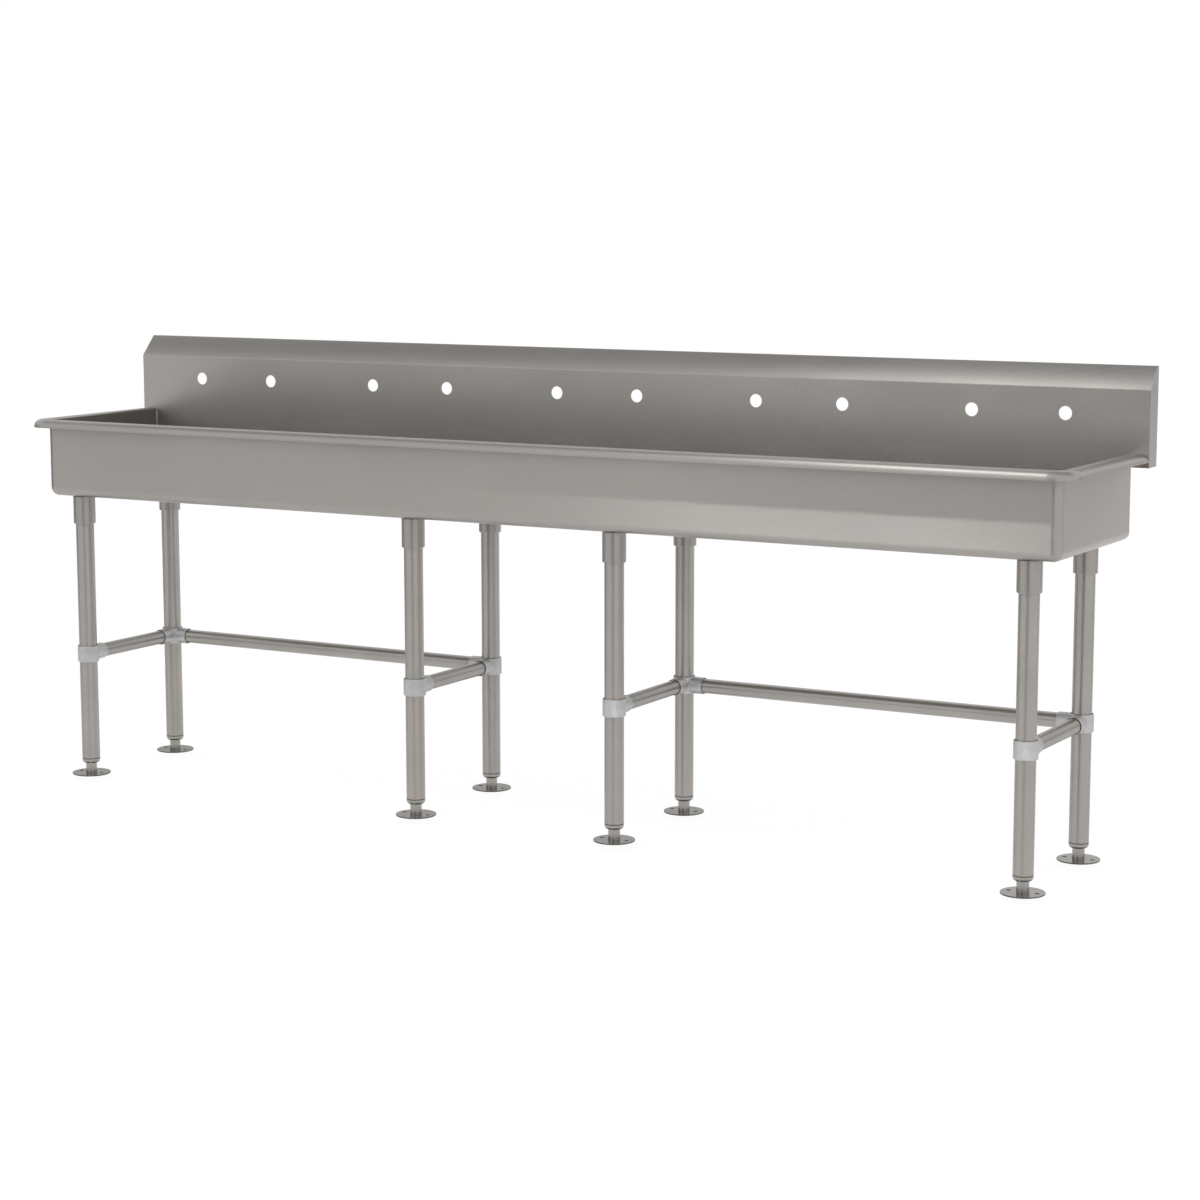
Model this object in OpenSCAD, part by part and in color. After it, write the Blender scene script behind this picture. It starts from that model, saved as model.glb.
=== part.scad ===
// Floor-standing trough sink with a tall splash, for five washing stations.
// Folded and welded stainless sheet on eight tubular legs, tied by rails in
// cast fittings, with screw-adjusted flanged feet.
// Millimetres. Origin: centre of the footprint, on the floor. +X runs along
// the trough, +Y points to the wall, +Z up.

/* [Overall] */
// Length over the rolled rim
overall_l = 2540; // [2300:10:2800]
// Depth from the front of the rim to the back of the splash
overall_d = 487; // [460:1:560]
// Height of the flat rim above the floor
rim_z = 834; // [760:1:900]
// Thickness of the sheet in the trough and the splash
sheet = 1.5; // [1:0.1:2.5]

/* [Trough] */
// Depth of the trough, from the rim down to the outside of its floor
trough_depth = 177; // [120:1:220]
// How far the rim stands out from the trough walls
rim_w = 36; // [28:1:45]
// Outside radius of the roll along the rim's edge
roll_r = 17.4; // [8:0.1:22]
// Outside radius of the small bend between wall and rim
bend_r = 4; // [3:0.5:8]
// Outside radius of the coved corners and bottom edges
cove_r = 19; // [10:1:40]
// Radius of the upright corners beside the splash
rear_corner_r = 5; // [3:1:9]
// How far the floor falls to the waste outlet
floor_fall = 5; // [3:0.5:12]

/* [Splash] */
// Height of the splash's highest edge above the rim
splash_h = 173.5; // [120:0.5:260]
// Depth of the splash from front face to wall
splash_d = 47; // [30:1:60]
// Height of the sloping return at the top
return_h = 46; // [20:1:60]
// Height of the turned-down flange against the wall
wall_flange_h = 26; // [10:1:60]
// How far the ends of the splash reach below the rim
splash_drop = 29; // [20:1:50]
// Outside radius of the folds in the splash
fold_r = 3; // [2.6:0.1:6]

/* [Tap holes] */
// Number of washing stations
stations = 5; // [1:1:5]
// Distance between stations
station_pitch = 495.3; // [400:0.1:500]
// Distance between the two holes of a station
hole_spacing = 203.2; // [150:0.1:300]
// Diameter of a tap hole
hole_d = 28.6; // [18:0.1:36]
// Height of the tap holes above the rim
hole_h = 75; // [50:1:100]

/* [Legs] */
// Distance from the trough's end wall to the outer legs
leg_end_inset = 73.5; // [45:0.5:300]
// Distance from the middle to the inner legs
leg_x_inner = 249; // [150:1:500]
// Distance from the trough's front wall to the front leg axis
leg_front_inset = 39; // [34:1:90]
// Distance from the wall to the rear leg axis
leg_rear_inset = 96; // [92:1:140]
// Outside diameter of a leg tube
leg_od = 41.3; // [35:0.1:45]
// Wall of the leg and rail tubes
tube_wall = 1.5; // [1:0.1:2.5]
// Height of the joint between leg tube and insert
leg_end_z = 38; // [34:1:60]

/* [Leg sockets] */
// Outside diameter of a leg socket
socket_od = 50; // [48:0.5:60]
// Length of a leg socket
socket_h = 65; // [50:1:90]
// Radius of the rounded ends of a socket
socket_edge_r = 2.2; // [1:0.1:3]

/* [Rails and fittings] */
// Height of the rail axes above the floor
rail_z = 286; // [150:1:400]
// Outside diameter of a rail tube
rail_od = 31.75; // [25:0.05:33]
// Outside diameter of a fitting's collar round the leg
collar_od = 49; // [47:0.5:56]
// Height of a collar, which is also its branch's diameter at the collar
collar_h = 38; // [37:1:50]
// Distance from the leg axis to a branch's mouth
branch_reach = 50; // [44:1:80]
// Outside diameter of a branch at its mouth
mouth_od = 36.4; // [36:0.1:36.9]
// Distance from the leg axis to the end of a rail
rail_stop = 26; // [25:0.5:32]

/* [Feet] */
// Diameter of a foot's flange
flange_d = 88.9; // [80:0.1:110]
// Thickness of a foot's flange
flange_t = 3; // [2.5:0.1:5]
// Distance between the two floor bolt holes
anchor_spacing = 59.2; // [52:0.1:66]
// Diameter of a floor bolt hole
anchor_d = 9; // [6:0.5:11]
// Diameter of the smooth stem
stem_d = 25.4; // [20:0.1:27]
// Diameter of the stem's screw, over the thread
thread_d = 19.05; // [12:0.05:19.5]
// Height of the insert's lowest face above the floor
insert_z = 26; // [24:1:33]
// Radius round the insert's lower edge
insert_edge_r = 7; // [3:0.5:7.5]
// Length of thread in the insert
thread_l = 30; // [20:1:60]
// Travel of a foot each way from the height shown
foot_travel = 12.7; // [6:0.1:14]

/* [Waste outlet] */
// Distance from the splash face to the waste's axis
waste_inset = 113; // [90:1:200]
// Diameter of the hole in the trough floor
waste_hole_d = 52; // [50.5:0.5:56]
// Diameter of the waste's top flange
waste_flange_d = 86; // [80:1:94]
// Thickness of the waste's top flange
waste_flange_t = 2; // [1.5:0.1:2.5]
// Diameter of the waste's shank, over its thread
shank_od = 47.8; // [46:0.1:49]
// Length of the shank below the flange
shank_l = 17; // [16:1:30]
// Outside diameter of the plain tail
tail_od = 38.1; // [36:0.1:42]
// Length of the tail below the shank
tail_l = 12; // [8:1:60]
// Bore of the tail
tail_bore = 34; // [30:0.5:35]
// Depth of the strainer cup
cup_depth = 12; // [10:0.5:12.5]

/* [Screws] */
// Diameter of a grub screw
grub_d = 8; // [5:0.5:9]

/* [Hidden] */
$fn = 48;
eps = 0.5;

// clearances
tube_gap = 0.25;      // leg in socket or collar, rail in branch
thread_gap = 0.08;    // running fit of a screw or spindle
seat_gap = 0.1;       // flat faces that turn on each other
drop_gap = 0.3;       // pieces that lift out

// trough
trough_l = overall_l - 2 * rim_w;
y_front = -overall_d / 2;
y_wall = overall_d / 2;
y_splash = y_wall - splash_d;
wall_front = y_front + rim_w;
wall_rear = y_splash + sheet;
floor_z = rim_z - trough_depth;
bend_z = rim_z - bend_r;
top_z = rim_z + splash_h;

// splash folds: the return runs from its break to the arc along the top edge
return_z = top_z - return_h;
return_rise = [splash_d - fold_r, return_h - fold_r];
return_angle = atan2(return_rise[1], return_rise[0]) + asin(fold_r / norm(return_rise));
fold_setback = fold_r * tan((90 - return_angle) / 2);
fold_steps = 8;

// tap holes
hole_z = rim_z + hole_h;

// waste outlet
waste_y = y_splash - waste_inset;
flat_r = waste_flange_d / 2 + 5;
recess_r = waste_flange_d / 2 + 1;
recess_depth = waste_flange_t + 0.5;
recess_z = floor_z + sheet - floor_fall - recess_depth;
nut_t = 9;
gasket_t = 2.5;
cup_r = shank_od / 2 - 3.4;
cup_rim_r = shank_od / 2 + 5;
knob_r = 4;
cup_t = 1;

// legs
leg_r = leg_od / 2;
leg_bore_r = leg_r - tube_wall;
leg_top_z = floor_z - floor_fall - 4;
leg_x_outer = trough_l / 2 - leg_end_inset;
leg_x = [-leg_x_outer, -leg_x_inner, leg_x_inner, leg_x_outer];
leg_y_front = wall_front + leg_front_inset;
leg_y_rear = y_wall - leg_rear_inset;

// rails
rail_r = rail_od / 2;

// feet: spigot and swaged head hold the stem in the flange
spigot_r = 8;
head_r = 11;
head_t = 1.2;
smooth_top_z = insert_z + foot_travel + 6;
counterbore_z = smooth_top_z + foot_travel + 3;
insert_top_z = counterbore_z + thread_l;
stem_top_z = insert_top_z + foot_travel + 6;
stem_edge = 0.8;

// grub screws
grub_r = grub_d / 2;
grub_h = 6.5;
grub_clear = 0.1;
boss_r = grub_r + 2.6;
boss_h = 2.6;
hex_d = grub_d * 0.55;

// ---------- trough ----------

// Outline of the trough seen from above, a given distance inside its outer wall.
module trough_plan(inset) {
    r = cove_r - inset;
    rr = max(rear_corner_r - inset, 0.5);
    x = trough_l / 2 - inset;
    y1 = wall_front + inset;
    y2 = wall_rear - inset;
    translate([-x, y1 + r]) square([2 * x, y2 - y1 - r - rr]);
    translate([-x + r, y1]) square([2 * (x - r), r + eps]);
    translate([-x + rr, y2 - rr - eps]) square([2 * (x - rr), rr + eps]);
    for (s = [-1, 1]) {
        translate([s * (x - r), y1 + r]) circle(r);
        translate([s * (x - rr), y2 - rr]) circle(rr);
    }
}

// Round bottom edges, with ball corners at the front and mitred ones at the rear.
module trough_bottom(inset) {
    r = cove_r - inset;
    x = trough_l / 2 - inset;
    y1 = wall_front + inset;
    y2 = wall_rear - inset;
    z = floor_z + cove_r;
    translate([-x + r, y1 + r, z - r]) cube([2 * (x - r), y2 - y1 - 2 * r, r + eps]);
    translate([-x + r, y1 + r, z]) rotate([0, 90, 0]) cylinder(r = r, h = 2 * (x - r));
    translate([-x + r, y2 - r, z]) rotate([0, 90, 0]) cylinder(r = r, h = 2 * (x - r));
    for (s = [-1, 1]) {
        translate([s * (x - r), y1 + r, z]) sphere(r);
        translate([s * (x - r), y1 + r, z]) rotate([-90, 0, 0]) cylinder(r = r, h = y2 - y1 - 2 * r);
        intersection() {
            translate([s * (x - r), y2 - 2 * r, z]) rotate([-90, 0, 0]) cylinder(r = r, h = 2 * r);
            translate([s * (x - r) - r, y2 - r, z]) rotate([0, 90, 0]) cylinder(r = r, h = 2 * r);
            translate([0, 0, z - r]) linear_extrude(2 * r) trough_plan(inset);
        }
    }
}

// The falls of the floor: two shallow vees that cross at the waste outlet.
module floor_falls(rise) {
    x = trough_l / 2 - cove_r;
    y1 = wall_front + cove_r;
    y2 = wall_rear - cove_r;
    z = floor_z + rise;
    intersection() {
        translate([0, y2, 0]) rotate([90, 0, 0]) linear_extrude(y2 - y1)
            polygon([[-x, z], [-flat_r, z - floor_fall], [flat_r, z - floor_fall], [x, z],
                     [x, z + eps], [-x, z + eps]]);
        translate([-x, 0, 0]) rotate([90, 0, 90]) linear_extrude(2 * x)
            polygon([[y1, z], [waste_y - flat_r, z - floor_fall], [waste_y + flat_r, z - floor_fall],
                     [y2, z], [y2, z + eps], [y1, z + eps]]);
    }
}

// Solid block the size of the trough, a given distance inside its outer faces.
module trough_block(inset, top) {
    z = floor_z + cove_r;
    trough_bottom(inset);
    translate([0, 0, z]) linear_extrude(top - z) trough_plan(inset);
    floor_falls(inset);
}

// Section of the rim, outwards from the inner face of the wall.
module rim_section() {
    w = sheet + rim_w;
    translate([bend_r, rim_z - sheet]) square([w - roll_r - bend_r, sheet]);
    translate([bend_r, bend_z]) intersection() {
        ring(bend_r);
        translate([-bend_r, 0]) square(bend_r);
    }
    translate([w - roll_r, rim_z - roll_r]) intersection() {
        ring(roll_r);
        square(roll_r);
    }
}

module ring(outer) {
    difference() {
        circle(outer);
        circle(outer - sheet);
    }
}

module rim() {
    xc = trough_l / 2 - cove_r;
    yc = wall_front + cove_r;
    translate([0, wall_front + sheet, 0]) rotate([90, 0, -90])
        linear_extrude(2 * xc, center = true) rim_section();
    for (s = [0, 1]) mirror([s, 0, 0]) {
        translate([trough_l / 2 - sheet, y_splash, 0]) rotate([90, 0, 0])
            linear_extrude(y_splash - yc) rim_section();
        translate([xc, yc, 0]) rotate([0, 0, -90])
            rotate_extrude(angle = 90) translate([cove_r - sheet, 0]) rim_section();
    }
}

module trough() {
    color("silver") {
        difference() {
            union() {
                trough_block(0, bend_z);
                translate([0, waste_y, recess_z - sheet]) cylinder(r = recess_r + sheet, h = recess_depth + sheet);
            }
            trough_block(sheet, rim_z + eps);
            translate([0, waste_y, recess_z]) cylinder(r = recess_r, h = recess_depth + sheet + eps);
            translate([0, waste_y, recess_z - sheet - eps]) cylinder(d = waste_hole_d, h = sheet + 2 * eps);
        }
        translate([-trough_l / 2 + sheet, y_splash, bend_z]) cube([trough_l - 2 * sheet, sheet, bend_r]);
        rim();
    }
}

// ---------- splash ----------

function arc(centre, r, from, to) =
    [for (i = [0:fold_steps]) let (a = from + (to - from) * i / fold_steps) centre + r * [cos(a), sin(a)]];

// The two folds of the splash, a given distance inside its outer faces: at the
// break between front and return, then along the top edge.
function folds(inset) = concat(
    arc([y_splash + fold_r, return_z - fold_setback], fold_r - inset, 180, 90 + return_angle),
    arc([y_wall - fold_r, top_z - fold_r], fold_r - inset, 90 + return_angle, 0)
);

function reversed(points) = [for (i = [len(points) - 1:-1:0]) points[i]];

// Section of the splash: front, sloping return, flange down the wall.
module splash_section() {
    polygon(concat(
        [[y_splash, rim_z]], folds(0),
        [[y_wall, top_z - wall_flange_h], [y_wall - sheet, top_z - wall_flange_h]],
        reversed(folds(sheet)), [[y_splash + sheet, rim_z]]
    ));
}

module splash() {
    half = overall_l / 2 - sheet;
    color("silver") difference() {
        union() {
            translate([-half, 0, 0]) rotate([90, 0, 90]) linear_extrude(2 * half) splash_section();
            for (s = [0, 1]) mirror([s, 0, 0])
                translate([trough_l / 2, y_splash, rim_z - splash_drop])
                    cube([half - trough_l / 2, sheet, splash_drop + eps]);
        }
        for (i = [0:stations - 1]) for (s = [-1, 1])
            translate([(i - (stations - 1) / 2) * station_pitch + s * hole_spacing / 2, y_splash - eps, hole_z])
                rotate([-90, 0, 0]) cylinder(d = hole_d, h = sheet + 2 * eps);
    }
}

// Closed end of the splash, which follows its folds.
module end_cap(side) {
    x = side < 0 ? -overall_l / 2 : overall_l / 2 - sheet;
    low_z = rim_z - splash_drop;
    color("silver") translate([x, 0, 0]) rotate([90, 0, 90]) linear_extrude(sheet)
        polygon(concat([[y_splash, low_z]], folds(0), [[y_wall, low_z]]));
}

// ---------- legs ----------

// Ring with rounded outer edges, standing on z = 0.
module rounded_ring(outer, inner, h, edge) {
    rotate_extrude() difference() {
        union() {
            translate([inner, 0]) square([outer - edge - inner, h]);
            translate([inner, edge]) square([outer - inner, h - 2 * edge]);
            for (z = [edge, h - edge]) translate([outer - edge, z]) circle(edge);
        }
        translate([-outer, -eps]) square([outer + inner, h + 2 * eps]);
    }
}

// Grub screw lying along +X, its tip at a given distance from the axis.
module grub_screw(tip) {
    translate([tip, 0, 0]) rotate([0, 90, 0]) difference() {
        cylinder(r = grub_r, h = grub_h);
        translate([0, 0, grub_h / 2]) cylinder(d = hex_d, h = grub_h, $fn = 6);
    }
}

module grub_hole(from, to) {
    translate([from, 0, 0]) rotate([0, 90, 0]) cylinder(r = grub_r + grub_clear, h = to - from);
}

module leg_socket(x, y) {
    color("gainsboro") difference() {
        translate([x, y, floor_z - socket_h])
            rounded_ring(socket_od / 2, leg_r + tube_gap, socket_h, socket_edge_r);
        floor_falls(0);
        translate([x, y, floor_z - socket_h / 2]) rotate([0, 0, 90]) grub_hole(leg_r, socket_od / 2 + eps);
    }
}

module leg(x, y) {
    color("lightgray") translate([x, y, leg_end_z]) difference() {
        cylinder(r = leg_r, h = leg_top_z - leg_end_z);
        translate([0, 0, -eps]) cylinder(r = leg_bore_r, h = leg_top_z - leg_end_z + 2 * eps);
    }
}

// ---------- rails and fittings ----------

// Cast branch along +X from the leg axis, tapering to its mouth.
module branch() {
    intersection() {
        rotate([0, 90, 0]) cylinder(r1 = collar_h / 2 + 3, r2 = mouth_od / 2, h = branch_reach);
        translate([0, -collar_h, -collar_h / 2]) cube([branch_reach, 2 * collar_h, collar_h]);
    }
}

module branch_bore() {
    translate([rail_stop, 0, 0]) rotate([0, 90, 0]) cylinder(r = rail_r + tube_gap, h = branch_reach);
}

screw_along = (rail_stop + branch_reach) / 2 + 4;

// A fitting: a collar with branches at the given angles and its own screw angle.
module fitting(x, y, branches, screw_angle) {
    color("whitesmoke") translate([x, y, rail_z]) difference() {
        union() {
            translate([0, 0, -collar_h / 2]) rounded_ring(collar_od / 2, leg_r, collar_h, 1.2);
            for (a = branches) rotate([0, 0, a]) {
                branch();
                translate([screw_along, 0, -mouth_od / 2 - boss_h]) cylinder(r = boss_r, h = mouth_od / 2);
            }
            rotate([0, 0, screw_angle]) rotate([0, 90, 0]) cylinder(r = boss_r, h = collar_od / 2 + boss_h);
        }
        translate([0, 0, -collar_h]) cylinder(r = leg_r + tube_gap, h = 2 * collar_h);
        rotate([0, 0, screw_angle]) grub_hole(0, collar_od);
        for (a = branches) rotate([0, 0, a]) {
            branch_bore();
            translate([screw_along, 0, 0]) rotate([0, 90, 0]) grub_hole(0, collar_od);
        }
    }
}

// Which ways the branches of the four fittings in a row point, left to right.
function front_branches(i) = [90];
function rear_branches(i) = i % 2 == 0 ? [-90, 0] : [-90, 180];

module rail(length) {
    rotate([0, 90, 0]) difference() {
        cylinder(r = rail_r, h = length);
        translate([0, 0, -eps]) cylinder(r = rail_r - tube_wall, h = length + 2 * eps);
    }
}

module cross_rail(i) {
    color("lightgray") translate([leg_x[i], leg_y_front + rail_stop, rail_z]) rotate([0, 0, 90])
        rail(leg_y_rear - leg_y_front - 2 * rail_stop);
}

module long_rail(i) {
    color("lightgray") translate([leg_x[i] + rail_stop, leg_y_rear, rail_z])
        rail(leg_x[i + 1] - leg_x[i] - 2 * rail_stop);
}

// ---------- feet ----------

// Insert in the end of a leg: rounded nose, shank up the tube, stepped bore.
module leg_insert() {
    nose_r = leg_r;
    shank_r = leg_bore_r - seat_gap;
    rotate_extrude() difference() {
        union() {
            translate([0, insert_z + insert_edge_r]) square([nose_r, leg_end_z - insert_z - insert_edge_r]);
            translate([0, insert_z]) square([nose_r - insert_edge_r, insert_edge_r + eps]);
            translate([nose_r - insert_edge_r, insert_z + insert_edge_r]) intersection() {
                circle(insert_edge_r);
                translate([0, -insert_edge_r]) square([insert_edge_r, insert_edge_r + eps]);
            }
            translate([0, leg_end_z - eps]) square([shank_r, insert_top_z - leg_end_z + eps]);
        }
        translate([-nose_r, 0]) square([nose_r + stem_d / 2 + thread_gap, counterbore_z]);
        translate([-nose_r, 0]) square([nose_r + thread_d / 2 + thread_gap, insert_top_z + eps]);
    }
}

module leg_inserts() {
    color("gray") for (x = leg_x) for (y = [leg_y_front, leg_y_rear]) translate([x, y, 0]) leg_insert();
}

module foot_stem(x, y) {
    color("silver") translate([x, y, 0]) rotate_extrude() polygon([
        [0, seat_gap],
        [head_r - seat_gap, seat_gap],
        [head_r - seat_gap, head_t - seat_gap],
        [spigot_r - thread_gap, head_t - seat_gap],
        [spigot_r - thread_gap, flange_t + seat_gap],
        [stem_d / 2, flange_t + seat_gap],
        [stem_d / 2, smooth_top_z - stem_edge],
        [stem_d / 2 - stem_edge, smooth_top_z],
        [thread_d / 2, smooth_top_z],
        [thread_d / 2, stem_top_z - stem_edge],
        [thread_d / 2 - stem_edge, stem_top_z],
        [0, stem_top_z]
    ]);
}

module foot_flange(x, y) {
    color("silver") translate([x, y, 0]) difference() {
        rounded_ring(flange_d / 2, spigot_r, flange_t, 0.8);
        translate([0, 0, -eps]) cylinder(r = head_r, h = head_t + eps);
        for (s = [-1, 1]) translate([s * anchor_spacing / 2, 0, -eps]) cylinder(d = anchor_d, h = flange_t + 2 * eps);
    }
}

// ---------- grub screws ----------

module socket_screws() {
    color("dimgray") for (x = leg_x) for (y = [leg_y_front, leg_y_rear])
        translate([x, y, floor_z - socket_h / 2]) rotate([0, 0, 90]) grub_screw(leg_r);
}

module collar_screws() {
    color("dimgray") for (x = leg_x) {
        translate([x, leg_y_front, rail_z]) rotate([0, 0, 180]) grub_screw(leg_r);
        translate([x, leg_y_rear, rail_z]) rotate([0, 0, 90]) grub_screw(leg_r);
    }
}

module rail_screws() {
    color("dimgray") for (i = [0:3]) {
        for (a = front_branches(i)) translate([leg_x[i], leg_y_front, rail_z]) branch_screw(a);
        for (a = rear_branches(i)) translate([leg_x[i], leg_y_rear, rail_z]) branch_screw(a);
    }
}

module branch_screw(angle) {
    rotate([0, 0, angle]) translate([screw_along, 0, 0]) rotate([0, 90, 0]) grub_screw(rail_r);
}

// ---------- waste outlet ----------

// Flanged waste: a screwed shank for the nut, then a plain tail for the trap.
module waste_body() {
    z = recess_z;
    seat_z = z + waste_flange_t - cup_t;
    tail_z = z - shank_l - tail_l;
    color("silver") translate([0, waste_y, 0]) difference() {
        union() {
            translate([0, 0, z]) cylinder(d = waste_flange_d, h = waste_flange_t);
            translate([0, 0, z - shank_l]) cylinder(d = shank_od, h = shank_l + eps);
            translate([0, 0, tail_z]) cylinder(d = tail_od, h = tail_l + eps);
        }
        translate([0, 0, tail_z - eps]) cylinder(d = tail_bore, h = shank_l + tail_l + waste_flange_t + 2 * eps);
        translate([0, 0, seat_z]) cylinder(r = cup_rim_r + drop_gap, h = waste_flange_t);
        translate([0, 0, z - cup_depth - 1]) cylinder(r = cup_r + 2 * drop_gap, h = shank_l);
    }
}

module waste_gasket() {
    z = recess_z - sheet - gasket_t;
    color("black") translate([0, waste_y, z]) difference() {
        cylinder(d = waste_flange_d - 8, h = gasket_t);
        translate([0, 0, -eps]) cylinder(r = shank_od / 2 + tube_gap, h = gasket_t + 2 * eps);
    }
}

module waste_nut() {
    z = recess_z - sheet - gasket_t - nut_t;
    color("goldenrod") translate([0, waste_y, z]) difference() {
        union() {
            cylinder(d = shank_od + 22, h = nut_t, $fn = 8);
            translate([0, 0, nut_t - 2]) cylinder(d = shank_od + 24, h = 2);
        }
        translate([0, 0, -eps]) cylinder(r = shank_od / 2 + thread_gap, h = nut_t + 2 * eps);
    }
}

// Lift-out strainer: a rim, a perforated cup and a small lifting knob.
module strainer_cup() {
    seat_z = recess_z + waste_flange_t - cup_t;
    floor_cup = seat_z + cup_t - cup_depth;
    slot_ring = cup_r * 0.62;
    color("silver") translate([0, waste_y, 0]) {
        difference() {
            union() {
                translate([0, 0, seat_z]) cylinder(r = cup_rim_r, h = cup_t);
                translate([0, 0, floor_cup]) cylinder(r = cup_r, h = cup_depth);
            }
            translate([0, 0, floor_cup + cup_t]) cylinder(r = cup_r - cup_t, h = cup_depth);
            for (a = [0:45:315]) rotate([0, 0, a]) translate([slot_ring, 0, floor_cup - eps])
                cylinder(r = 2.4, h = cup_t + 2 * eps);
            for (a = [0:30:330]) rotate([0, 0, a]) translate([0, 0, floor_cup + cup_depth / 2])
                rotate([0, 90, 0]) cylinder(r = 2.2, h = cup_r + eps);
        }
        translate([0, 0, floor_cup]) cylinder(r = knob_r / 2, h = cup_depth - knob_r);
        translate([0, 0, floor_cup + cup_depth - knob_r]) sphere(knob_r);
    }
}

// ---------- drawing ----------

trough();
splash();
end_cap(-1);  // end_cap_left
end_cap(1);  // end_cap_right

for (i = [0:3]) {
    leg_socket(leg_x[i], leg_y_front);
    leg_socket(leg_x[i], leg_y_rear);
    leg(leg_x[i], leg_y_front);
    leg(leg_x[i], leg_y_rear);
    fitting(leg_x[i], leg_y_front, front_branches(i), 180);
    fitting(leg_x[i], leg_y_rear, rear_branches(i), 90);
    cross_rail(i);
    foot_stem(leg_x[i], leg_y_front);
    foot_stem(leg_x[i], leg_y_rear);
    foot_flange(leg_x[i], leg_y_front);
    foot_flange(leg_x[i], leg_y_rear);
}

long_rail(0);  // long_rail_left
long_rail(2);  // long_rail_right
leg_inserts();
socket_screws();
collar_screws();
rail_screws();
waste_body();
waste_gasket();
waste_nut();
strainer_cup();
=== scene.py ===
"""A long stainless trough sink for five washing stations, on eight tubular legs.

The sections follow the sink as it is put together: the trough, the splash, the legs with
their sockets, castings and rails, the feet, and the waste. Metres, with +X along the
trough, +Y towards the wall and +Z up.
"""
from math import cos, pi, radians, sin

import bmesh
import bpy
from mathutils import Matrix, Vector


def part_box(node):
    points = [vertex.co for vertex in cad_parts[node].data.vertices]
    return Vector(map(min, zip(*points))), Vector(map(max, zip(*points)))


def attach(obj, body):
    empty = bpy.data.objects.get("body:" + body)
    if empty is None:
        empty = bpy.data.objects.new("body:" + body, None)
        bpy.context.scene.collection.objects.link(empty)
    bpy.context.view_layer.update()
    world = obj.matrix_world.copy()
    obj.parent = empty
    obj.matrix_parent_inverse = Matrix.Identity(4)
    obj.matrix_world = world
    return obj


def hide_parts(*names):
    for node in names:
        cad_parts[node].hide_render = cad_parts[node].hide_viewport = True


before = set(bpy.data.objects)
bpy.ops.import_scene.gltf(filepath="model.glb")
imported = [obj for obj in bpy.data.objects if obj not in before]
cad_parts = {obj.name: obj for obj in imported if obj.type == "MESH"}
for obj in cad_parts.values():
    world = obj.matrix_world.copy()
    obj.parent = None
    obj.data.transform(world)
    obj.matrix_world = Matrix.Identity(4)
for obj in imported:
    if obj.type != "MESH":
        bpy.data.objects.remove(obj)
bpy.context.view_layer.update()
MM = 0.001


# ---------------------------------------------------------------- the photograph's view
# A long lens six metres from the middle of the sink, off its front right corner and half a
# metre above the rim, so that the front, the right end and the inside of the splash all show.

view_azimuth = radians(29.454)
view_elevation = radians(8.347)
view_roll = radians(-0.031)
view_from = Vector((3.0283, -5.1502, 1.3494))
lens_mm, picture_mm = 83.08, 36
view_reach = 200


def add_camera():
    backwards = Vector((sin(view_azimuth) * cos(view_elevation),
                        -cos(view_azimuth) * cos(view_elevation),
                        sin(view_elevation)))
    rightwards = Vector((cos(view_azimuth), sin(view_azimuth), 0))
    upwards = backwards.cross(rightwards)
    level = Matrix((rightwards, upwards, backwards)).transposed()
    rolled = level @ Matrix.Rotation(view_roll, 3, "Z")
    lens = bpy.data.cameras.new("camera")
    lens.lens = lens_mm
    lens.sensor_width = picture_mm
    lens.sensor_fit = "HORIZONTAL"
    lens.clip_end = view_reach
    camera = bpy.data.objects.new("camera", lens)
    camera.matrix_world = Matrix.Translation(view_from) @ rolled.to_4x4()
    bpy.context.collection.objects.link(camera)
    bpy.context.scene.camera = camera


add_camera()
bpy.context.scene.view_settings.view_transform = "Standard"


# ---------------------------------------------------------------- floor and studio
# A white sweep with no edge in view. Satin steel shows what stands round it, so the
# studio is mostly what it mirrors: pale floor, white walls, and grey and dark cards.

studio_light = 0.62     # strength of the white walls on matt surfaces, where 1 is white
floor_shade = 0.12      # share of the floor that takes shadows, the rest is plain white
floor_glow = 1.07       # strength of the plain part, so that both come to white together
floor_z = -12.9 * MM    # just below the feet when they are screwed right out
floor_reach = 60        # each way from the sink, past the edge of every view


def linear(code):
    """An sRGB hex colour as linear red, green, blue and alpha."""
    parts = [int(code[i:i + 2], 16) / 255 for i in (0, 2, 4)]
    return (*(p / 12.92 if p <= 0.04045 else ((p + 0.055) / 1.055) ** 2.4 for p in parts), 1)


def node(tree, kind, inputs=None, **settings):
    """A new node with its settings, and its inputs set or linked, by name or number."""
    made = tree.nodes.new(kind)
    for name, value in settings.items():
        setattr(made, name, value)
    for name, value in (inputs or {}).items():
        if isinstance(value, bpy.types.NodeSocket):
            tree.links.new(value, made.inputs[name])
        else:
            made.inputs[name].default_value = value
    return made


def material(name):
    """An empty node material, and its tree."""
    made = bpy.data.materials.new(name)
    made.use_nodes = True
    made.node_tree.nodes.clear()
    return made, made.node_tree


def seen_directly(tree):
    """1 for rays from the camera, or mirrored or passed on to it, else 0."""
    path = node(tree, "ShaderNodeLightPath")
    seen = path.outputs["Is Camera Ray"]
    for kind in ("Is Glossy Ray", "Is Transmission Ray"):
        either = node(tree, "ShaderNodeMath", {0: seen, 1: path.outputs[kind]}, operation="MAXIMUM")
        seen = either.outputs[0]
    return seen


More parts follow.
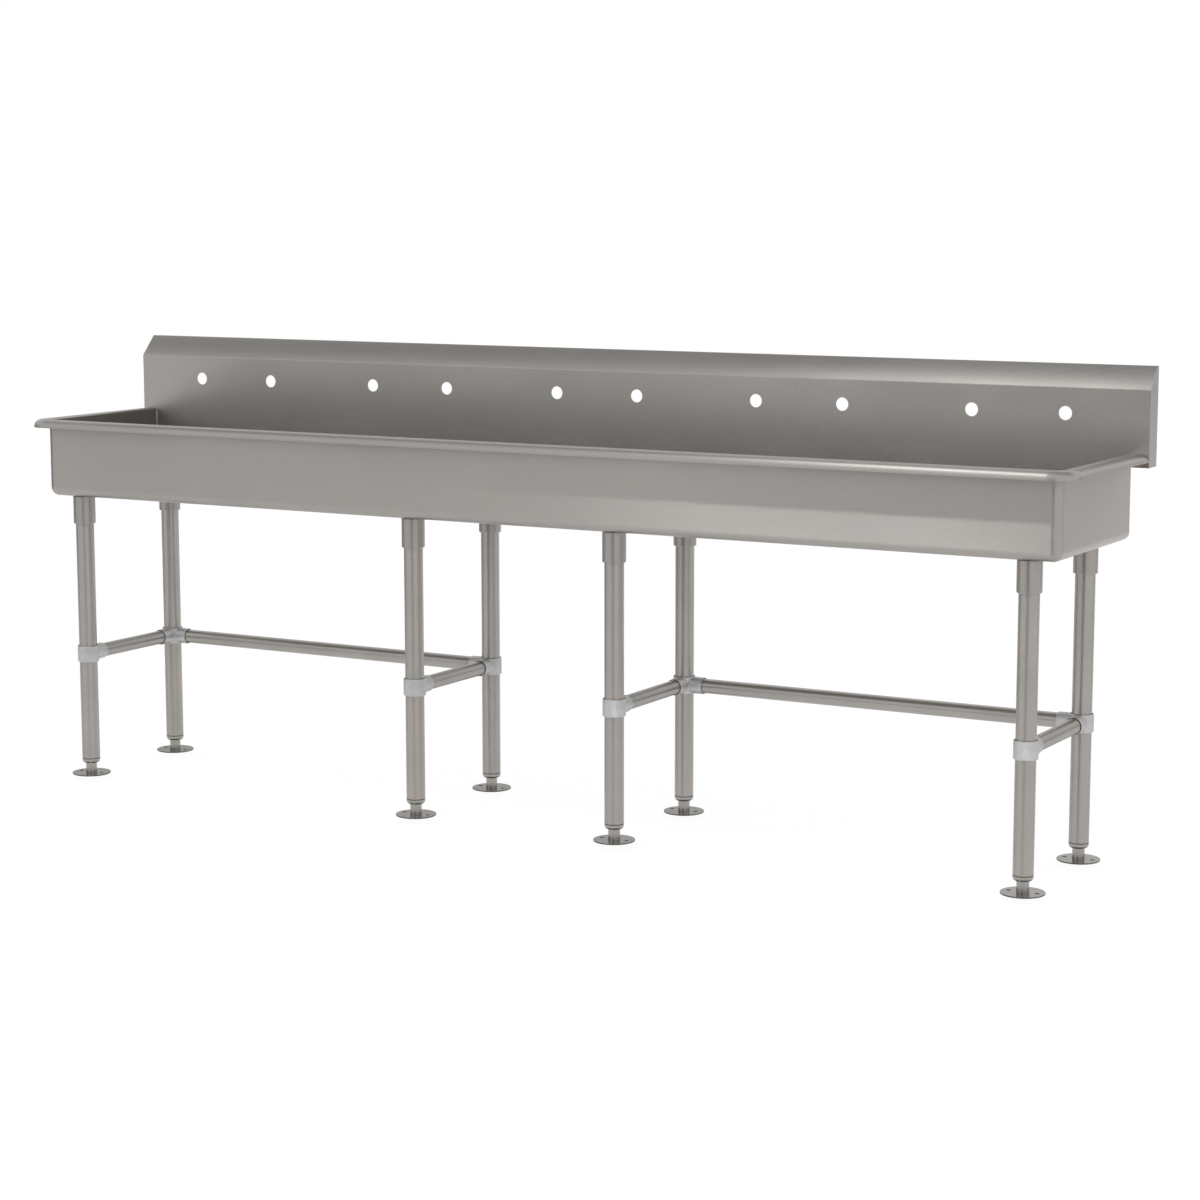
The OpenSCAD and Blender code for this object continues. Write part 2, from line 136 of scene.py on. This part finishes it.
def paint_world():
    """White walls all round, that light matt surfaces less than they glow."""
    world = bpy.data.worlds.new("studio")
    world.use_nodes = True
    tree = world.node_tree
    tree.nodes.clear()
    strength = node(tree, "ShaderNodeMapRange", {
        "Value": seen_directly(tree), "To Min": studio_light, "To Max": 1})
    light = node(tree, "ShaderNodeBackground", {
        "Color": linear("FFFFFF"), "Strength": strength.outputs[0]})
    node(tree, "ShaderNodeOutputWorld", {"Surface": light.outputs[0]})
    bpy.context.scene.world = world


def stage_mesh(name, corners, made_of):
    """A flat piece of the studio, with its corners in order."""
    mesh = bpy.data.meshes.new(name)
    mesh.from_pydata(corners, [], [tuple(range(len(corners)))])
    mesh.materials.append(made_of)
    placed = bpy.data.objects.new(name, mesh)
    bpy.context.collection.objects.link(placed)
    return placed


def add_floor():
    """Matt white paint: it melts into the walls, and shows only a faint shadow round the feet."""
    paint, tree = material("painted_floor")
    matt = node(tree, "ShaderNodeBsdfDiffuse", {"Color": linear("F4F4F4")})
    plain = node(tree, "ShaderNodeEmission", {"Color": linear("FFFFFF"), "Strength": floor_glow})
    share = node(tree, "ShaderNodeMath", {0: seen_directly(tree), 1: 1 - floor_shade},
                 operation="MULTIPLY")
    both = node(tree, "ShaderNodeMixShader", {
        0: share.outputs[0], 1: matt.outputs[0], 2: plain.outputs[0]})
    node(tree, "ShaderNodeOutputMaterial", {"Surface": both.outputs[0]})
    stage_mesh("floor", [(x * floor_reach, y * floor_reach, floor_z)
                         for x, y in ((-1, -1), (1, -1), (1, 1), (-1, 1))], paint)


def add_lamp(name, at, aim, size, watts):
    """A rectangular lamp of the given width and height, that shines from one place to another."""
    light = bpy.data.lights.new(name, "AREA")
    light.shape = "RECTANGLE"
    light.size, light.size_y = size
    light.energy = watts
    lamp = bpy.data.objects.new(name, light)
    lamp.location = at
    lamp.rotation_euler = (Vector(aim) - Vector(at)).to_track_quat("-Z", "Y").to_euler()
    bpy.context.collection.objects.link(lamp)
    return lamp


def link_light(lamp, state, *pieces):
    """Has a lamp light only the given pieces, with INCLUDE, or all but them, with EXCLUDE."""
    linked = lamp.light_linking.receiver_collection
    linked = linked or bpy.data.collections.new(f"{lamp.name}_{state.lower()}")
    lamp.light_linking.receiver_collection = linked
    for piece in pieces:
        linked.objects.link(piece)
    for member in linked.collection_objects:
        member.light_linking.link_state = state


def add_card(name, low, high, along, level, fade):
    """An upright glowing card that only shiny surfaces see.

    It stands between two heights and the two places `along`. From clear at its left end it
    comes to its level, where 1 is white, in the share `fade` of its length.
    """
    paint, tree = material(name)
    place = node(tree, "ShaderNodeTexCoord").outputs["Generated"]
    across = node(tree, "ShaderNodeSeparateXYZ", {0: place}).outputs["X"]
    amount = node(tree, "ShaderNodeMapRange", {"Value": across, "From Max": fade},
                  interpolation_type="SMOOTHSTEP")
    shown = node(tree, "ShaderNodeEmission", {"Color": linear("FFFFFF"), "Strength": level})
    clear = node(tree, "ShaderNodeBsdfTransparent")
    both = node(tree, "ShaderNodeMixShader", {
        0: amount.outputs[0], 1: clear.outputs[0], 2: shown.outputs[0]})
    node(tree, "ShaderNodeOutputMaterial", {"Surface": both.outputs[0]})
    left, right = Vector(along[0]), Vector(along[1])
    card = stage_mesh(name, [(left.x, left.y, low), (right.x, right.y, low),
                             (right.x, right.y, high), (left.x, left.y, high)], paint)
    card.visible_camera = False
    card.visible_diffuse = False
    card.visible_shadow = False
    return card


def lay_flat(card, at, turned=0):
    """Lays a card down at a place, with its top to the front, and turned by so many degrees."""
    card.rotation_euler = (pi / 2, 0, radians(turned))
    card.location = at


def add_flag(name, low, high, y, left, right):
    """A card that nothing shows, which only keeps light off what lies behind it."""
    flag = add_card(name, low, high, ((left, y), (right, y)), 1, 0.1)
    flag.visible_glossy = False
    flag.visible_shadow = True


paint_world()
add_floor()

# One lamp overhead, of which the splash gets a weaker copy.
overhead_at, overhead_aim, overhead_size = (-0.35, -1.6, 4.15), (0.3, -0.2, 0.7), (1.2, 0.15)
overhead_watts, splash_watts = 21, 8
overhead = add_lamp("overhead", overhead_at, overhead_aim, overhead_size, overhead_watts)
link_light(overhead, "EXCLUDE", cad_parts["splash"])
overhead_fill = add_lamp("overhead_fill", overhead_at, overhead_aim, overhead_size, splash_watts)
link_light(overhead_fill, "INCLUDE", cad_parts["splash"])

# The cards in front and at the left are what the splash and the near sides of the tubes mirror,
# those behind what the edges of the tubes mirror, and the right flag what the right end mirrors.
add_card("left_card", 0.3, 1.6, ((-9.0, -5.9), (-3.2, -5.9)), 0.62, 0.1)
add_card("dark_card", 0.0, 1.8, ((0.2, -5.95), (3.2, -5.95)), 0.02, 0.2)
add_card("left_flag", 0.0, 0.45, ((-5.2, 0.0), (-2.0, 5.5)), 0.1, 0.1)
add_card("far_wall", 0.45, 2.0, ((-5.2, 0.0), (-2.0, 5.5)), 0.62, 0.1)
add_card("back_wall", 0.3, 2.0, ((-2.0, 5.5), (3.0, 6.0)), 0.75, 0.02)
add_card("side_card", 0.0, 1.5, ((-5.2, -2.6), (-5.2, 0.0)), 0.05, 0.2)
add_card("right_flag", 0.0, 2.0, ((3.0, 6.0), (6.0, 3.0)), 0.56, 0.1)

# Two mats lie end to end on the floor before the sink. The front of the trough shades off
# towards its right end as the left mat darkens, from clear to near black. Over the sink hangs
# the grey that its sloping return mirrors.
mat_y, mat_deep, mats_meet_x = -2.9, 3.0, 0.7
dark_mat = add_card("dark_mat", 0.0, mat_deep, ((mats_meet_x, 0), (2.9, 0)), 0.01, 0.15)
lay_flat(dark_mat, (0, mat_y, 5 * MM))
ceiling = add_card("ceiling_card", 0.0, 1.9, ((-4.5, 0), (3.0, 0)), 0.34, 0.1)
lay_flat(ceiling, (0, 1.5, 3.6), 10)
grey_mat = add_card("grey_mat", 0.0, mat_deep, ((-2.3, 0), (mats_meet_x, 0)), 0.02, 0.9)
lay_flat(grey_mat, (0, mat_y, 4 * MM))

# A thin strip light near the floor, with a flag that keeps it off all above the line across the
# lower front of the trough.
front_y, front_line_z = -0.2075, 0.730
strip_y, strip_z, strip_from, strip_to = -3.0, 0.15, -1.2, 0.3
strip_rise, strip_h, strip_watts = 0.3, 2 * MM, 5
strip_at = (strip_from + strip_to) / 2
strip = add_lamp("strip", (strip_at, strip_y, strip_z), (strip_at, 0, strip_z + strip_rise),
                 (strip_to - strip_from, strip_h), strip_watts)
link_light(strip, "INCLUDE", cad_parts["trough"])
flag_y, flag_h = -2.5, 0.2
flag_z = strip_z + (flag_y - strip_y) * (front_line_z - strip_z) / (front_y - strip_y)
add_flag("strip_flag", flag_z, flag_z + flag_h, flag_y, -3.0, 3.0)

# A second one on the right, half hidden by its flag, for the castings of the two front legs on
# the right, which are linked to it where they are made. The rim mirrors a little of it too.
right_strip = add_lamp("right_strip", (2.0, -3.6, 0.15), (2.0, 0, 0.3), (2.4, 0.05), 15)
link_light(right_strip, "INCLUDE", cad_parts["trough"])
add_flag("right_strip_flag", 0.1815, 0.45, -3.2, 0.4, 3.2)


# ---------------------------------------------------------------- trough, splash and end caps
# Type 304 stainless sheet, 1.5 mm thick: the trough is folded and welded with coved corners and
# a rolled rim, and the splash behind it is folded, drilled for the taps, and closed by two ends.
# The welds are ground flush and the whole is brushed along its length.

def worked_metal(name, colour, other, roughness, spread, along, mark, cloud, depth, contrast=0.05,
                 crown=None, painted_edge_shade=None):
    """A metal that shows how its surface was worked, with its two colours blended in clouds.

    Tool marks, of three sides and a depth in mm, shade it by the contrast and roughen it. What
    it mirrors is drawn out in the direction `along`, by a spread from 0 to 1. A crown is a strip
    between two heights that the folding left bulging by so many mm. The painted edge shade is a
    darker colour painted on upright faces, the punched edges and bolt-hole walls, as painted shade.
    """
    paint, tree = material(name)
    place = node(tree, "ShaderNodeTexCoord").outputs["Object"]
    scale = [1 / (side * MM) for side in mark]
    marked = node(tree, "ShaderNodeMapping", {"Vector": place, "Scale": scale}).outputs[0]
    marks = node(tree, "ShaderNodeTexNoise", {"Vector": marked, "Scale": 1, "Detail": 3}).outputs[0]
    clouds = node(tree, "ShaderNodeTexNoise", {
        "Vector": place, "Scale": 1 / (cloud * MM), "Detail": 2}).outputs[0]

    # Both patterns lie about 0.5, and most of their product lies between 0.12 and 0.38.
    share = node(tree, "ShaderNodeMapRange", {
        "Value": clouds, "From Min": 0.35, "From Max": 0.65}).outputs[0]
    shade = node(tree, "ShaderNodeMix", {0: share, 6: linear(colour), 7: linear(other)},
                 data_type="RGBA")
    tone = node(tree, "ShaderNodeMapRange", {
        "Value": marks, "From Min": 0.3, "From Max": 0.7,
        "To Min": 1 - contrast, "To Max": 1 + contrast}).outputs[0]
    tint = node(tree, "ShaderNodeVectorMath", {0: shade.outputs[2], "Scale": tone},
                operation="SCALE").outputs[0]
    both = node(tree, "ShaderNodeMath", {0: marks, 1: clouds}, operation="MULTIPLY").outputs[0]
    rough = node(tree, "ShaderNodeMapRange", {
        "Value": both, "From Min": 0.12, "From Max": 0.38,
        "To Min": roughness * 0.9, "To Max": roughness * 1.1})
    relief = node(tree, "ShaderNodeMath", {0: marks, 1: depth * MM}, operation="MULTIPLY").outputs[0]

    # Painted shade: upright faces, such as punched edges and bolt-hole walls, take a darker colour for
    # the shadow that falls there.
    if painted_edge_shade:
        normal = node(tree, "ShaderNodeNewGeometry").outputs["Normal"]
        facing_up = node(tree, "ShaderNodeSeparateXYZ", {0: normal}).outputs["Z"]
        level = node(tree, "ShaderNodeMath", {0: facing_up}, operation="ABSOLUTE").outputs[0]
        whole = node(tree, "ShaderNodeMapRange", {
            "Value": level, "From Min": 0.3, "From Max": 0.8}).outputs[0]
        tint = node(tree, "ShaderNodeMix", {0: whole, 6: linear(painted_edge_shade), 7: tint},
                    data_type="RGBA").outputs[2]
    if crown:
        low, high, rise = crown
        height = node(tree, "ShaderNodeSeparateXYZ", {0: place}).outputs["Z"]
        across = node(tree, "ShaderNodeMapRange", {
            "Value": height, "From Min": low, "From Max": high, "To Min": -1, "To Max": 1}).outputs[0]
        bulge = node(tree, "ShaderNodeMath", {0: across, 1: across}, operation="MULTIPLY").outputs[0]
        relief = node(tree, "ShaderNodeMath", {0: bulge, 1: -rise * MM, 2: relief},
                      operation="MULTIPLY_ADD").outputs[0]

    bump = node(tree, "ShaderNodeBump", {"Height": relief, "Strength": 1, "Distance": 1})
    drawn_out = node(tree, "ShaderNodeCombineXYZ", {"X": along[0], "Y": along[1], "Z": along[2]})
    metal = node(tree, "ShaderNodeBsdfPrincipled", {
        "Base Color": tint, "Metallic": 1, "Roughness": rough.outputs[0],
        "Anisotropic": spread, "Tangent": drawn_out.outputs[0], "Normal": bump.outputs[0]})
    node(tree, "ShaderNodeOutputMaterial", {"Surface": metal.outputs[0]})
    return paint


def finish_nodes(paint, *names):
    """Gives pieces that keep their CAD mesh their material."""
    for name in names:
        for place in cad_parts[name].material_slots:
            place.material = paint


# Satin grey: what it mirrors is drawn out up and down, across the brush lines. The small slant
# keeps that direction true on level faces too. The lines, 0.05 mm wide, are too fine to show, so
# what is drawn of them is a faint grain of 3 by 8 mm. The return bulges a little from its fold.
across_brushing = (0, 0.02, 1)
brushed_grain, brushed_cloud, brushed_depth, brushed_contrast = (3, 3, 8), 220, 0.002, 0.04
return_low, return_high, return_crown = 0.9615, 1.0075, 2.4
brushed_sheet = worked_metal("brushed_304_sheet", "A6A19D", "A4A19D", 0.36, 0.7, across_brushing,
                             brushed_grain, brushed_cloud, brushed_depth, brushed_contrast)
brushed_splash = worked_metal("brushed_304_splash", "AAA5A1", "A7A4A0", 0.34, 0.65, across_brushing,
                              brushed_grain, brushed_cloud, brushed_depth, brushed_contrast,
                              crown=(return_low, return_high, return_crown))
finish_nodes(brushed_sheet, "trough", "end_cap_left", "end_cap_right")
finish_nodes(brushed_splash, "splash")


# ---------------------------------------------------------------- leg sockets
# Eight short stainless tubes with rounded ends, turned, and welded under the trough. Each holds
# a leg with one grub screw at its back.

legs = [(row, i) for row in ("front", "rear") for i in range(1, 5)]

# Satin, with upright highlights drawn out along the socket. Turning marks of 0.1 mm are drawn
# 0.9 mm high.
turned_socket = worked_metal("turned_socket", "A39E9A", "A09D99", 0.36, 0.75, (0, 0, 1),
                             (20, 20, 0.9), 60, 0.0008)
finish_nodes(turned_socket, *(f"leg_socket_{row}_{i}" for row, i in legs))


# ---------------------------------------------------------------- legs and rails
# Welded stainless tube: 1-5/8 in legs and 1-1/4 in rails, belt-ground round the tube. The legs
# are clamped in their sockets, and the rails in the castings.

def ground_tube(name, along, mark):
    """Ground tube, whose highlights run along it. Marks of 0.05 mm are drawn 0.9 mm wide."""
    return worked_metal(name, "A9A4A0", "A6A39F", 0.37, 0.78, along, mark, 90, 0.0008)


finish_nodes(ground_tube("ground_leg", (0, 0, 1), (20, 20, 0.9)),
             *(f"leg_{row}_{i}" for row, i in legs))
finish_nodes(ground_tube("ground_cross_rail", (0, 1, 0), (20, 0.9, 20)),
             *(f"cross_rail_{i}" for i in range(1, 5)))
finish_nodes(ground_tube("ground_long_rail", (1, 0, 0), (0.9, 20, 20)),
             "long_rail_left", "long_rail_right")


# ---------------------------------------------------------------- castings
# Aluminium alloy fittings that slide on the legs and take the rails in tapered branches. They
# are sand cast and tumbled, so every corner is soft, and are bored for the tubes afterwards.

collar_r, collar_h, collar_edge = 24.5 * MM, 38 * MM, 1.2 * MM
leg_bore_r, rail_bore_r, rail_stop = 20.9 * MM, 16.125 * MM, 26 * MM
branch_root_r, branch_mouth_r, branch_reach = 18.6 * MM, 18.2 * MM, 50 * MM
collar_mouth_w, branch_mouth_w, mouth_deep = 1.6 * MM, 1.1 * MM, 3 * MM
boss_r, boss_h, branch_screw_at = 6.6 * MM, 2.6 * MM, 42 * MM
grub_bore_r = 4.1 * MM
cast_grain = 0.7 * MM
past_all = 2 * branch_reach     # where a cut ends that goes right through


def lathe(bm, outline, turn, sides=64):
    """Spins radius and height pairs, closed at both ends, round the Z axis, then turns it."""
    rings = []
    for radius, height in outline:
        rings.append([bm.verts.new((radius * cos(2 * pi * i / sides),
                                    radius * sin(2 * pi * i / sides), height))
                      for i in range(sides)])
    for low, high in zip(rings, rings[1:]):
        for i in range(sides):
            j = (i + 1) % sides
            bm.faces.new((low[i], low[j], high[j], high[i]))
    bm.faces.new(rings[0][::-1])
    bm.faces.new(rings[-1])
    bmesh.ops.transform(bm, matrix=turn, verts=[corner for ring in rings for corner in ring])


def turned_piece(name, outline, turn):
    """An object with a lathed solid, placed by turn."""
    bm = bmesh.new()
    lathe(bm, outline, turn)
    mesh = bpy.data.meshes.new(name)
    bm.to_mesh(mesh)
    bm.free()
    made = bpy.data.objects.new(name, mesh)
    bpy.context.collection.objects.link(made)
    return made


def applied(piece):
    """The piece's mesh with its modifiers applied."""
    bpy.context.view_layer.update()
    seen = piece.evaluated_get(bpy.context.evaluated_depsgraph_get())
    return bpy.data.meshes.new_from_object(seen)


def join(piece, other, operation):
    """Joins another piece to this one, or cuts it out of this one, and uses it up."""
    cut = piece.modifiers.new(operation, "BOOLEAN")
    cut.object = other
    cut.operation = operation
    cut.solver = "EXACT"
    cut.use_self = True
    made = applied(piece)
    piece.modifiers.clear()
    piece.data = made
    bpy.data.objects.remove(other)


def lying(angle):
    """Lays what stands on the origin down, to point level at an angle."""
    return Matrix.Rotation(radians(angle), 4, "Z") @ Matrix.Rotation(pi / 2, 4, "Y")


def out_at(angle, distance):
    """Moves what stands on the origin out by a distance at an angle."""
    return Matrix.Rotation(radians(angle), 4, "Z") @ Matrix.Translation((distance, 0, 0))


def casting_mesh(name, branches, screw_angle, has_boss):
    """A casting round the origin, with branches and a collar screw at the given angles."""
    half, edge = collar_h / 2, collar_edge
    upright = Matrix.Identity(4)
    body = turned_piece(name, [(collar_r - edge, -half), (collar_r, edge - half),
                               (collar_r, half - edge), (collar_r - edge, half)], upright)
    branch = [(branch_root_r, 0), (branch_mouth_r, branch_reach - edge),
              (branch_mouth_r - edge / 2, branch_reach)]
    added = [(branch, lying(angle)) for angle in branches]
    if has_boss:
        added.append(([(boss_r, leg_bore_r), (boss_r, collar_r + boss_h)], lying(screw_angle)))
    for outline, turn in added:
        join(body, turned_piece("added", outline, turn), "UNION")

    wide, deep = leg_bore_r + collar_mouth_w, half - mouth_deep
    leg_bore = [(wide, -past_all), (wide, -deep), (leg_bore_r, -deep),
                (leg_bore_r, deep), (wide, deep), (wide, past_all)]
    mouth_r, mouth_at = rail_bore_r + branch_mouth_w, branch_reach - mouth_deep
    rail_bore = [(rail_bore_r, rail_stop), (rail_bore_r, mouth_at),
                 (mouth_r, mouth_at), (mouth_r, past_all)]
    removed = [(leg_bore, upright), ([(grub_bore_r, 0), (grub_bore_r, past_all)], lying(screw_angle))]
    for angle in branches:
        removed.append((rail_bore, lying(angle)))
        removed.append(([(grub_bore_r, -past_all), (grub_bore_r, 0)], out_at(angle, branch_screw_at)))
    for outline, turn in removed:
        join(body, turned_piece("removed", outline, turn), "DIFFERENCE")

    tumbled = body.modifiers.new("tumbled", "REMESH")
    tumbled.mode = "VOXEL"
    tumbled.voxel_size = cast_grain
    soft = body.modifiers.new("soft", "SMOOTH")
    soft.factor, soft.iterations = 0.5, 2
    lean = body.modifiers.new("lean", "DECIMATE")
    lean.ratio = 0.15
    mesh = applied(body)
    mesh.shade_smooth()
    bpy.data.objects.remove(body)
    return mesh


# Pale and matt, with a fine pebbled skin from the sand and the tumbling. The pebbles are drawn
# 1.5 mm across, twice the real size.
cast_aluminium = worked_metal("cast_aluminium", "C8C8C8", "C3C3C3", 0.55, 0, (0, 0, 1),
                              (1.5, 1.5, 1.5), 14, 0.02)
castings = {}   # mesh, angles of the branches and angle of the collar screw, for each kind
for kind, branches, screw_angle in (("front", (90,), 180), ("rear_odd", (-90, 0), 90),
                                    ("rear_even", (-90, 180), 90)):
    mesh = casting_mesh(f"{kind}_casting", branches, screw_angle, kind != "front")
    castings[kind] = mesh, branches, screw_angle


def casting_of(row, i):
    """Mesh, branch angles, collar screw's angle and centre of the casting on a leg."""
    low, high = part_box(f"leg_{row}_{i}")
    rail_low, rail_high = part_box("cross_rail_1")
    centre = Vector(((low.x + high.x) / 2, (low.y + high.y) / 2, (rail_low.z + rail_high.z) / 2))
    kind = row if row == "front" else ("rear_even", "rear_odd")[i % 2]
    return (*castings[kind], centre)


for row, i in legs:
    mesh, branches, screw_angle, centre = casting_of(row, i)
    casting = bpy.data.objects.new(f"casting_{row}_{i}", mesh.copy())
    casting.data.materials.clear()
    casting.data.materials.append(cast_aluminium)
    casting.location = centre
    bpy.context.collection.objects.link(casting)
    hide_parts(f"fitting_{row}_{i}")
    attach(casting, "root")
    if row == "front" and i > 2:
        link_light(right_strip, "INCLUDE", casting)


# ---------------------------------------------------------------- feet
# Stainless inserts with rounded noses, pressed and welded in the leg ends, in which the foot
# stems screw up and down, and pressed flanges with two bolt holes that the stems turn in.

nose_r, nose_low, nose_high, nose_edge = 20.65 * MM, 26 * MM, 38 * MM, 7 * MM
insert_bore_r, shank_r, insert_top = 12.9 * MM, 19.1 * MM, 58 * MM
seam_w, seam_deep = 1.6 * MM, 1.2 * MM
crease = radians(35)    # edges sharper than this are left sharp

# Brighter than the tubes, with fine rings. Turning marks of 0.1 mm are drawn 0.7 mm high.
turned_foot = worked_metal("turned_foot", "A29D99", "9E9D99", 0.26, 0.5, (0, 0, 1),
                           (12, 12, 0.7), 40, 0.002)

# Bright and almost even from the press, with painted shade in dark grey on its upright edges
# and in its bolt holes, where shadow falls. The faint dimples are drawn 3 mm across.
pressed_flange = worked_metal("pressed_flange", "9C9793", "989793", 0.2, 0.3, (0, 1, 0),
                              (3, 3, 3), 30, 0.002, painted_edge_shade="565350")

# Oxide that the weld's heat left in the seam: a dull, nearly black line.
seam_oxide = worked_metal("seam_oxide", "3C3A38", "333231", 0.6, 0, (0, 0, 1), (1, 1, 1), 10, 0.004)
finish_nodes(turned_foot, *(f"foot_stem_{row}_{i}" for row, i in legs))
finish_nodes(pressed_flange, *(f"foot_flange_{row}_{i}" for row, i in legs))

nose_arc = [radians(90 * k / 8) for k in range(9)]
insert_outline = [(insert_bore_r, insert_top), (insert_bore_r, nose_low)]
insert_outline += [(nose_r - nose_edge + nose_edge * sin(a), nose_low + nose_edge - nose_edge * cos(a))
                   for a in nose_arc]
insert_outline += [(nose_r, nose_high - seam_w), (nose_r - seam_deep, nose_high - seam_w * 0.75),
                   (nose_r - seam_deep, nose_high), (shank_r, nose_high), (shank_r, insert_top)]


def ring_mesh(name, outline, sides=64):
    """A ring turned from a closed outline of radius and height."""
    bm = bmesh.new()
    turned = [[bm.verts.new((r * cos(2 * pi * i / sides), r * sin(2 * pi * i / sides), h))
               for r, h in outline] for i in range(sides)]
    for i in range(sides):
        near, far = turned[i], turned[(i + 1) % sides]
        for k in range(len(outline)):
            j = (k + 1) % len(outline)
            bm.faces.new((near[k], far[k], far[j], near[j]))
    bmesh.ops.recalc_face_normals(bm, faces=bm.faces)
    mesh = bpy.data.meshes.new(name)
    bm.to_mesh(mesh)
    bm.free()
    mesh.shade_smooth()
    mesh.set_sharp_from_angle(angle=crease)
    return mesh


for row, i in legs:
    low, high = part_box(f"leg_{row}_{i}")
    insert = bpy.data.objects.new(f"leg_insert_{row}_{i}", ring_mesh("leg_insert", insert_outline))
    insert.data.materials.append(turned_foot)
    insert.data.materials.append(seam_oxide)
    for face in insert.data.polygons:
        in_seam = nose_high - seam_w < face.center.z <= nose_high and face.center.xy.length > shank_r
        face.material_index = 1 if in_seam else 0
    insert.location = ((low.x + high.x) / 2, (low.y + high.y) / 2, 0)
    bpy.context.collection.objects.link(insert)
    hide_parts("leg_inserts")
    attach(insert, "root")


# ---------------------------------------------------------------- grub screws
# Hardened steel grub screws with hexagon sockets, blackened in oil, that clamp the legs in their
# sockets and the tubes in the castings.

grub_r, grub_edge, hexagon_r = 4 * MM, 0.5 * MM, 2.2 * MM
leg_r, rail_r = 20.65 * MM, 15.875 * MM

# Dark grey with a weak satin shine from the oil. Its grain is drawn 0.6 mm across.
blackened_steel = worked_metal("blackened_steel", "4A4847", "403F3F", 0.42, 0, (0, 0, 1),
                               (0.6, 0.6, 0.6), 4, 0.004)
finish_nodes(blackened_steel, "socket_screws")


def grub_screw_mesh(length, sides=48):
    """A grub screw from the origin along +X, with a hexagon socket to half its length."""
    def circle(radius):
        return [radius] * sides

    hexagon = [hexagon_r * cos(pi / 6) / cos(2 * pi * i / sides % (pi / 3) - pi / 6)
               for i in range(sides)]
    rings = [(circle(grub_r - grub_edge), 0), (circle(grub_r), grub_edge),
             (circle(grub_r), length - grub_edge), (circle(grub_r - grub_edge), length),
             (hexagon, length), (hexagon, length / 2)]
    bm = bmesh.new()
    turned = [[bm.verts.new((x, r * cos(2 * pi * i / sides), r * sin(2 * pi * i / sides)))
               for i, r in enumerate(radii)] for radii, x in rings]
    for near, far in zip(turned, turned[1:]):
        for i in range(sides):
            j = (i + 1) % sides
            bm.faces.new((near[i], near[j], far[j], far[i]))
    bm.faces.new(turned[0][::-1])
    bm.faces.new(turned[-1])
    mesh = bpy.data.meshes.new("grub_screw")
    bm.to_mesh(mesh)
    bm.free()
    mesh.shade_smooth()
    mesh.set_sharp_from_angle(angle=crease)
    mesh.materials.append(blackened_steel)
    return mesh


def add_grub_screw(name, turn, start, length, node_name):
    """A grub screw that ends `length` from its start along the turned X axis."""
    screw = bpy.data.objects.new(name, grub_screw_mesh(length))
    screw.matrix_world = turn @ Matrix.Translation((start, 0, 0))
    bpy.context.collection.objects.link(screw)
    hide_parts(node_name)
    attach(screw, "root")


for row, i in legs:
    mesh, branches, screw_angle, centre = casting_of(row, i)
    length = collar_r - leg_r + (0 if row == "front" else boss_h)
    middle = Matrix.Translation(centre)
    sideways = middle @ Matrix.Rotation(radians(screw_angle), 4, "Z")
    add_grub_screw(f"collar_screw_{row}_{i}", sideways, leg_r, length, "collar_screws")
    for number, angle in enumerate(branches, 1):
        down = middle @ out_at(angle, branch_screw_at) @ Matrix.Rotation(pi / 2, 4, "Y")
        add_grub_screw(f"rail_screw_{row}_{i}_{number}", down, rail_r, branch_mouth_r - rail_r,
                       "rail_screws")


# ---------------------------------------------------------------- waste
# A spun stainless waste with a lift-out strainer, pulled down on a rubber gasket by a brass nut.
# The waste and strainer are polished, the nut is as cast with turned faces.

# Clear, bright reflections with hardly a mark. Polishing marks of 0.02 mm are drawn 0.5 mm high.
polished_waste = worked_metal("polished_waste", "A8A39F", "A4A3A0", 0.16, 0.3, (0, 0.02, 1),
                              (8, 8, 0.5), 40, 0.001)

# Warm yellow with a soft, grainy shine. The grain is drawn 0.8 mm across, twice the real size.
cast_brass = worked_metal("cast_brass", "C9A35A", "B8934E", 0.38, 0, (0, 0, 1),
                          (0.8, 0.8, 0.8), 12, 0.01)
finish_nodes(polished_waste, "waste_body", "strainer_cup")
finish_nodes(cast_brass, "waste_nut")


def paint_rubber():
    """Black moulded rubber: a dull sheen with a faint grey bloom, in patches of 6 mm."""
    paint, tree = material("moulded_rubber")
    place = node(tree, "ShaderNodeTexCoord").outputs["Object"]
    bloom = node(tree, "ShaderNodeTexNoise", {
        "Vector": place, "Scale": 1 / (6 * MM), "Detail": 4}).outputs[0]
    shade = node(tree, "ShaderNodeMix", {0: bloom, 6: linear("1C1C1C"), 7: linear("2C2C2B")},
                 data_type="RGBA")
    rubber = node(tree, "ShaderNodeBsdfPrincipled", {
        "Base Color": shade.outputs[2], "Roughness": 0.62, "IOR": 1.52})
    node(tree, "ShaderNodeOutputMaterial", {"Surface": rubber.outputs[0]})
    return paint


finish_nodes(paint_rubber(), "waste_gasket")
